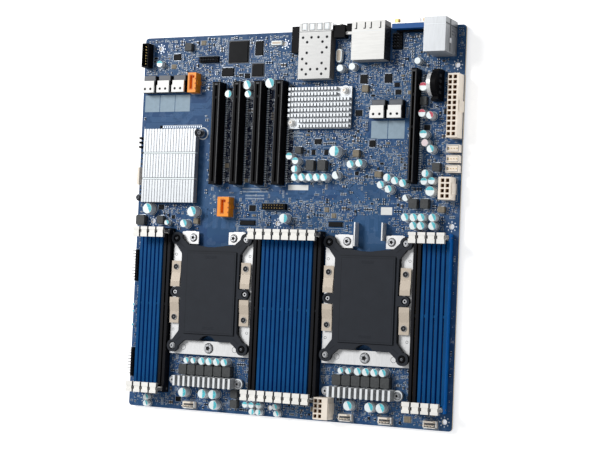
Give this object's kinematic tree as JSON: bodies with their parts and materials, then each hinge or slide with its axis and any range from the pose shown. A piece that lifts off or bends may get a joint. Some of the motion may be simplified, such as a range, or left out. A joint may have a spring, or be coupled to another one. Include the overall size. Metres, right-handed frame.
{
  "type": "computer motherboard",
  "caption": "Flat dual-socket server circuit board with covered processor sockets, memory slots with hinged latches, finned heatsinks, expansion slots and rear ports.",
  "frame": {"origin": "under the middle of the whole board, at the height of the socket back plates' lower faces", "axes": "+X to the right, +Y towards the edge with the rear ports, +Z out of the side that carries the parts"},
  "size_m": [0.305, 0.336, 0.0326],
  "materials": {
    "circuit_board": "blue solder mask, satin",
    "cpu_backplates": "dull",
    "socket_frames": "bright satin",
    "cpu_sockets": "moulded",
    "cpu_covers": "fine grain",
    "leaf_springs": "satin",
    "fasteners": "satin",
    "dimm_slots_blue": "moulded",
    "dimm_slots_black": "moulded",
    "pcie_slots": "moulded",
    "chipset_heatsink": "anodised",
    "network_heatsink": "anodised",
    "vrm_heatsinks": "anodised",
    "sfp_cage": "bright",
    "lan_ports": "bright",
    "vga_port": "moulded",
    "lan_usb_stack": "bright",
    "power_connectors": "nylon",
    "battery_holder": "moulded",
    "coin_cell": "bright",
    "id_button": "moulded",
    "black_headers": "moulded",
    "sas_connectors": "bright",
    "sata_connectors": "moulded",
    "capacitors": "printed top",
    "chokes": "ferrite",
    "chips": "moulded",
    "latches": "nylon"
  },
  "bodies": {
    "board": {"circuit_board": "circuit_board", "cpu_backplates": "cpu_backplates", "socket_frames": "socket_frames", "cpu_sockets": "cpu_sockets", "leaf_springs": "leaf_springs", "fasteners": "fasteners", "dimm_slots_blue": "dimm_slots_blue", "dimm_slots_black": "dimm_slots_black", "pcie_slots": "pcie_slots", "chipset_heatsink": "chipset_heatsink", "network_heatsink": "network_heatsink", "vrm_heatsinks": "vrm_heatsinks", "sfp_cage": "sfp_cage", "lan_ports": "lan_ports", "vga_port": "vga_port", "lan_usb_stack": "lan_usb_stack", "power_connectors": "power_connectors", "battery_holder": "battery_holder", "black_headers": "black_headers", "sas_connectors": "sas_connectors", "sata_connectors": "sata_connectors", "capacitors": "capacitors", "chokes": "chokes", "chips": "chips"},
    "left_cover": {"cpu_cover_left": "cpu_covers"},
    "right_cover": {"cpu_cover_right": "cpu_covers"},
    "cell": {"coin_cell": "coin_cell"},
    "button": {"id_button": "id_button"},
    "rear_latch_1": {"latch_rear_1": "latches"},
    "front_latch_1": {"latch_front_1": "latches"},
    "rear_latch_2": {"latch_rear_2": "latches"},
    "front_latch_2": {"latch_front_2": "latches"},
    "rear_latch_3": {"latch_rear_3": "latches"},
    "front_latch_3": {"latch_front_3": "latches"},
    "rear_latch_4": {"latch_rear_4": "latches"},
    "front_latch_4": {"latch_front_4": "latches"},
    "rear_latch_5": {"latch_rear_5": "latches"},
    "front_latch_5": {"latch_front_5": "latches"},
    "rear_latch_6": {"latch_rear_6": "latches"},
    "front_latch_6": {"latch_front_6": "latches"},
    "rear_latch_7": {"latch_rear_7": "latches"},
    "front_latch_7": {"latch_front_7": "latches"},
    "rear_latch_8": {"latch_rear_8": "latches"},
    "front_latch_8": {"latch_front_8": "latches"},
    "rear_latch_9": {"latch_rear_9": "latches"},
    "front_latch_9": {"latch_front_9": "latches"},
    "rear_latch_10": {"latch_rear_10": "latches"},
    "front_latch_10": {"latch_front_10": "latches"},
    "rear_latch_11": {"latch_rear_11": "latches"},
    "front_latch_11": {"latch_front_11": "latches"},
    "rear_latch_12": {"latch_rear_12": "latches"},
    "front_latch_12": {"latch_front_12": "latches"},
    "rear_latch_13": {"latch_rear_13": "latches"},
    "front_latch_13": {"latch_front_13": "latches"},
    "rear_latch_14": {"latch_rear_14": "latches"},
    "front_latch_14": {"latch_front_14": "latches"},
    "rear_latch_15": {"latch_rear_15": "latches"},
    "front_latch_15": {"latch_front_15": "latches"},
    "rear_latch_16": {"latch_rear_16": "latches"},
    "front_latch_16": {"latch_front_16": "latches"}
  },
  "joints": [
    {"name": "left_cover_lift", "type": "slide", "parent": "board", "child": "left_cover", "axis": [0, 0, 1], "range_m": [0, 0.025]},
    {"name": "right_cover_lift", "type": "slide", "parent": "board", "child": "right_cover", "axis": [0, 0, 1], "range_m": [0, 0.025]},
    {"name": "cell_lift", "type": "slide", "parent": "board", "child": "cell", "axis": [0, 0, 1], "range_m": [0, 0.022]},
    {"name": "id_button_press", "type": "slide", "parent": "board", "child": "button", "axis": [0, -1, 0], "range_m": [0, 0.0008], "stiffness_N_per_m": 600},
    {"name": "rear_latch_1_hinge", "type": "hinge", "parent": "board", "child": "rear_latch_1", "pos_m": [-0.14, -0.0125, 0.0078], "axis": [-1, 0, 0], "range_deg": [0, 28]},
    {"name": "front_latch_1_hinge", "type": "hinge", "parent": "board", "child": "front_latch_1", "pos_m": [-0.14, -0.1507, 0.0078], "axis": [1, 0, 0], "range_deg": [0, 28]},
    {"name": "rear_latch_2_hinge", "type": "hinge", "parent": "board", "child": "rear_latch_2", "pos_m": [-0.13185, -0.0125, 0.0078], "axis": [-1, 0, 0], "range_deg": [0, 28]},
    {"name": "front_latch_2_hinge", "type": "hinge", "parent": "board", "child": "front_latch_2", "pos_m": [-0.13185, -0.1507, 0.0078], "axis": [1, 0, 0], "range_deg": [0, 28]},
    {"name": "rear_latch_3_hinge", "type": "hinge", "parent": "board", "child": "rear_latch_3", "pos_m": [-0.1237, -0.0125, 0.0078], "axis": [-1, 0, 0], "range_deg": [0, 28]},
    {"name": "front_latch_3_hinge", "type": "hinge", "parent": "board", "child": "front_latch_3", "pos_m": [-0.1237, -0.1507, 0.0078], "axis": [1, 0, 0], "range_deg": [0, 28]},
    {"name": "rear_latch_4_hinge", "type": "hinge", "parent": "board", "child": "rear_latch_4", "pos_m": [-0.11555, -0.0125, 0.0078], "axis": [-1, 0, 0], "range_deg": [0, 28]},
    {"name": "front_latch_4_hinge", "type": "hinge", "parent": "board", "child": "front_latch_4", "pos_m": [-0.11555, -0.1507, 0.0078], "axis": [1, 0, 0], "range_deg": [0, 28]},
    {"name": "rear_latch_5_hinge", "type": "hinge", "parent": "board", "child": "rear_latch_5", "pos_m": [-0.0263, -0.0125, 0.0078], "axis": [-1, 0, 0], "range_deg": [0, 28]},
    {"name": "front_latch_5_hinge", "type": "hinge", "parent": "board", "child": "front_latch_5", "pos_m": [-0.0263, -0.1507, 0.0078], "axis": [1, 0, 0], "range_deg": [0, 28]},
    {"name": "rear_latch_6_hinge", "type": "hinge", "parent": "board", "child": "rear_latch_6", "pos_m": [-0.01815, -0.0125, 0.0078], "axis": [-1, 0, 0], "range_deg": [0, 28]},
    {"name": "front_latch_6_hinge", "type": "hinge", "parent": "board", "child": "front_latch_6", "pos_m": [-0.01815, -0.1507, 0.0078], "axis": [1, 0, 0], "range_deg": [0, 28]},
    {"name": "rear_latch_7_hinge", "type": "hinge", "parent": "board", "child": "rear_latch_7", "pos_m": [-0.01, -0.0125, 0.0078], "axis": [-1, 0, 0], "range_deg": [0, 28]},
    {"name": "front_latch_7_hinge", "type": "hinge", "parent": "board", "child": "front_latch_7", "pos_m": [-0.01, -0.1507, 0.0078], "axis": [1, 0, 0], "range_deg": [0, 28]},
    {"name": "rear_latch_8_hinge", "type": "hinge", "parent": "board", "child": "rear_latch_8", "pos_m": [-0.00185, -0.0125, 0.0078], "axis": [-1, 0, 0], "range_deg": [0, 28]},
    {"name": "front_latch_8_hinge", "type": "hinge", "parent": "board", "child": "front_latch_8", "pos_m": [-0.00185, -0.1507, 0.0078], "axis": [1, 0, 0], "range_deg": [0, 28]},
    {"name": "rear_latch_9_hinge", "type": "hinge", "parent": "board", "child": "rear_latch_9", "pos_m": [0.0063, -0.0125, 0.0078], "axis": [-1, 0, 0], "range_deg": [0, 28]},
    {"name": "front_latch_9_hinge", "type": "hinge", "parent": "board", "child": "front_latch_9", "pos_m": [0.0063, -0.1507, 0.0078], "axis": [1, 0, 0], "range_deg": [0, 28]},
    {"name": "rear_latch_10_hinge", "type": "hinge", "parent": "board", "child": "rear_latch_10", "pos_m": [0.01445, -0.0125, 0.0078], "axis": [-1, 0, 0], "range_deg": [0, 28]},
    {"name": "front_latch_10_hinge", "type": "hinge", "parent": "board", "child": "front_latch_10", "pos_m": [0.01445, -0.1507, 0.0078], "axis": [1, 0, 0], "range_deg": [0, 28]},
    {"name": "rear_latch_11_hinge", "type": "hinge", "parent": "board", "child": "rear_latch_11", "pos_m": [0.0226, -0.0125, 0.0078], "axis": [-1, 0, 0], "range_deg": [0, 28]},
    {"name": "front_latch_11_hinge", "type": "hinge", "parent": "board", "child": "front_latch_11", "pos_m": [0.0226, -0.1507, 0.0078], "axis": [1, 0, 0], "range_deg": [0, 28]},
    {"name": "rear_latch_12_hinge", "type": "hinge", "parent": "board", "child": "rear_latch_12", "pos_m": [0.03075, -0.0125, 0.0078], "axis": [-1, 0, 0], "range_deg": [0, 28]},
    {"name": "front_latch_12_hinge", "type": "hinge", "parent": "board", "child": "front_latch_12", "pos_m": [0.03075, -0.1507, 0.0078], "axis": [1, 0, 0], "range_deg": [0, 28]},
    {"name": "rear_latch_13_hinge", "type": "hinge", "parent": "board", "child": "rear_latch_13", "pos_m": [0.1201, -0.0125, 0.0078], "axis": [-1, 0, 0], "range_deg": [0, 28]},
    {"name": "front_latch_13_hinge", "type": "hinge", "parent": "board", "child": "front_latch_13", "pos_m": [0.1201, -0.1507, 0.0078], "axis": [1, 0, 0], "range_deg": [0, 28]},
    {"name": "rear_latch_14_hinge", "type": "hinge", "parent": "board", "child": "rear_latch_14", "pos_m": [0.12825, -0.0125, 0.0078], "axis": [-1, 0, 0], "range_deg": [0, 28]},
    {"name": "front_latch_14_hinge", "type": "hinge", "parent": "board", "child": "front_latch_14", "pos_m": [0.12825, -0.1507, 0.0078], "axis": [1, 0, 0], "range_deg": [0, 28]},
    {"name": "rear_latch_15_hinge", "type": "hinge", "parent": "board", "child": "rear_latch_15", "pos_m": [0.1364, -0.0125, 0.0078], "axis": [-1, 0, 0], "range_deg": [0, 28]},
    {"name": "front_latch_15_hinge", "type": "hinge", "parent": "board", "child": "front_latch_15", "pos_m": [0.1364, -0.1507, 0.0078], "axis": [1, 0, 0], "range_deg": [0, 28]},
    {"name": "rear_latch_16_hinge", "type": "hinge", "parent": "board", "child": "rear_latch_16", "pos_m": [0.14455, -0.0125, 0.0078], "axis": [-1, 0, 0], "range_deg": [0, 28]},
    {"name": "front_latch_16_hinge", "type": "hinge", "parent": "board", "child": "front_latch_16", "pos_m": [0.14455, -0.1507, 0.0078], "axis": [1, 0, 0], "range_deg": [0, 28]}
  ]
}
